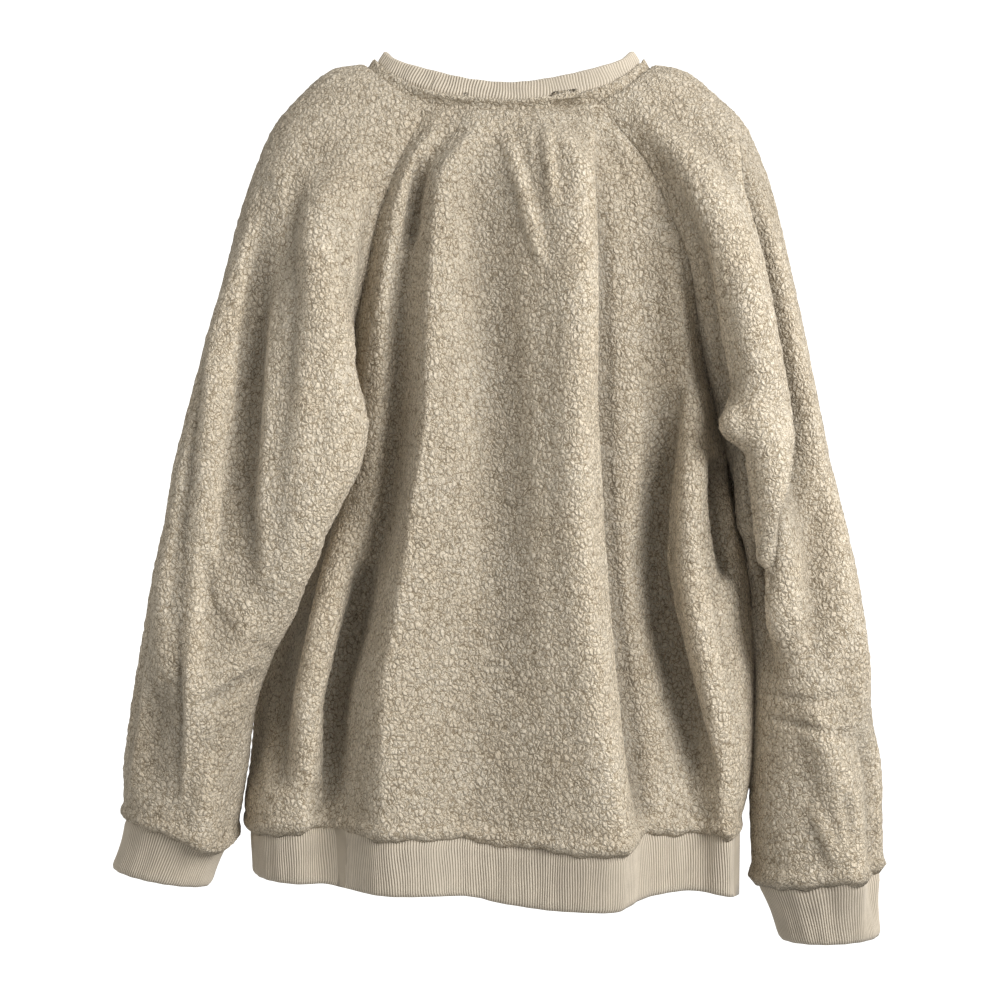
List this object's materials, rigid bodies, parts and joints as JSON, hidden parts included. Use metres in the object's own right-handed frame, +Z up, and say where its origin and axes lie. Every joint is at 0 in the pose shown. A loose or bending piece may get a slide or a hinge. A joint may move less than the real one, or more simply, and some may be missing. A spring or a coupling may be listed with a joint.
{
  "type": "sherpa fleece pullover",
  "caption": "Loose crew-neck pullover of thick sherpa fleece with raglan sleeves and rib bands at neck, hem and cuffs, hanging open and hollow.",
  "frame": {"origin": "inside the collar, midway between the two shoulder points at the neck, where the garment is held up", "axes": "+Z up along the hanging garment, -Y out of its front, +Y out of its back, +X to the wearer's left"},
  "size_m": [0.6101, 0.1754, 0.7144],
  "materials": {
    "fleece": "curly sherpa pile",
    "rib": "ribbed knit"
  },
  "bodies": {
    "root": {"back": "fleece", "front": "fleece", "sleeve_left": "fleece", "sleeve_right": "fleece", "neckband": "rib", "hem_band": "rib", "cuff_left": "rib", "cuff_right": "rib"}
  },
  "joints": []
}
